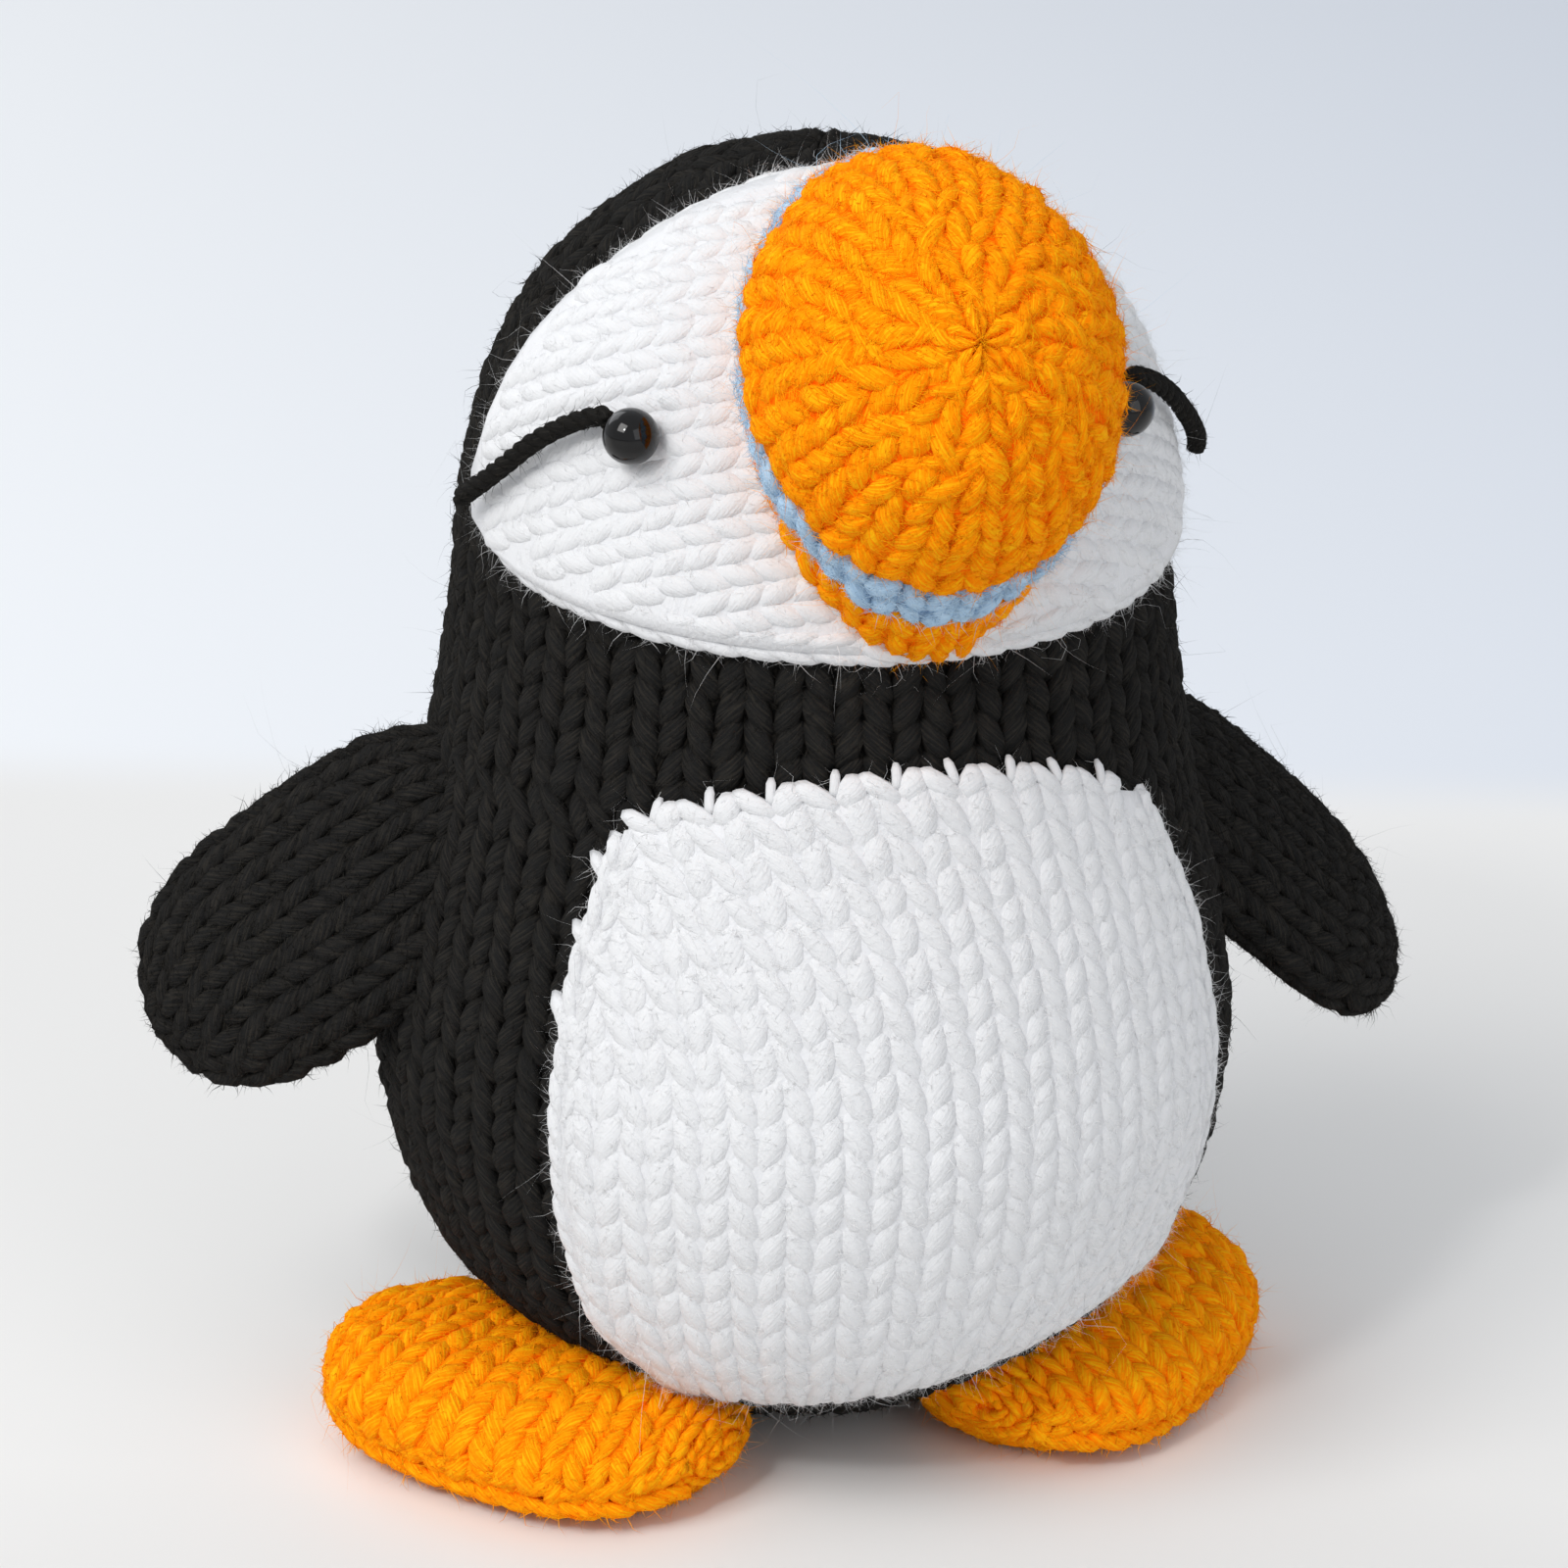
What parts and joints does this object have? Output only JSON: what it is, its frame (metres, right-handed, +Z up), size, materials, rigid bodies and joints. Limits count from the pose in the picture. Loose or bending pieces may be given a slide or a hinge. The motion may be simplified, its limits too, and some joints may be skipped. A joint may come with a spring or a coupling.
{
  "type": "knitted toy puffin",
  "caption": "Hand-knitted, stuffed toy puffin standing on two oval feet, with a skittle-shaped body, a domed beak and two paddle wings.",
  "frame": {"origin": "middle of the flat underside of the body, at floor level", "axes": "+Z up, the toy faces -Y, and its own left wing is towards +X"},
  "size_m": [0.0991, 0.075, 0.1029],
  "materials": {
    "black_yarn": "soft acrylic knitting yarn with a fine fuzz",
    "white_yarn": "soft acrylic knitting yarn with a fine fuzz",
    "orange_yarn": "soft acrylic knitting yarn with a fine fuzz",
    "blue_yarn": "soft acrylic knitting yarn with a fine fuzz",
    "black_bead": "glossy round bead"
  },
  "bodies": {
    "root": {"body": "black_yarn", "head": "black_yarn", "face_patch": "white_yarn", "belly_panel": "white_yarn", "beak_base": "orange_yarn", "beak_band": "blue_yarn", "beak_tip": "orange_yarn", "eye_left": "black_bead", "eye_right": "black_bead", "eye_line_left": "black_yarn", "eye_line_right": "black_yarn", "wing_left": "black_yarn", "wing_right": "black_yarn", "foot_left": "orange_yarn", "foot_right": "orange_yarn"}
  },
  "joints": []
}
